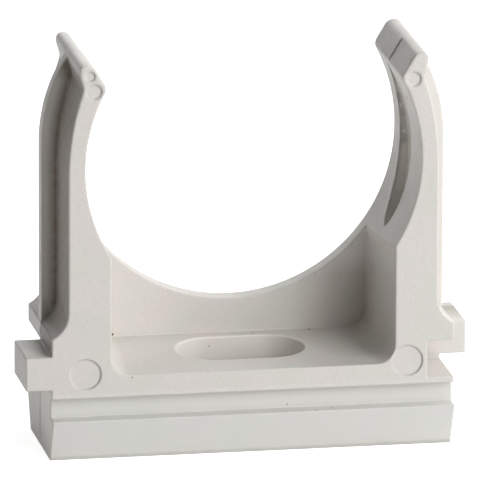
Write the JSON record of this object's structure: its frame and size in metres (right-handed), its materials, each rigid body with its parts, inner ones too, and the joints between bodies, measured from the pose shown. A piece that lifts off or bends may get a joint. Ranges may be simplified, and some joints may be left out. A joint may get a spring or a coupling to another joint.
{
  "type": "conduit clip",
  "caption": "Snap-in clip that holds a 40 mm conduit or pipe between two springy arms on a slotted, screw-fixed foot, with lugs and notches to join like clips in a row.",
  "frame": {"origin": "middle of the mounting face, on the surface that the clip is fixed to", "axes": "+Z away from the mounting face towards the mouth, +X across the arms from lug to lug, Y along the conduit, with -Y the open side of the screw pocket"},
  "size_m": [0.0542, 0.019, 0.048],
  "materials": {
    "light_grey_pvc": "moulded rigid PVC, light grey, satin"
  },
  "bodies": {
    "root": {"conduit_clip": "light_grey_pvc"}
  },
  "joints": []
}
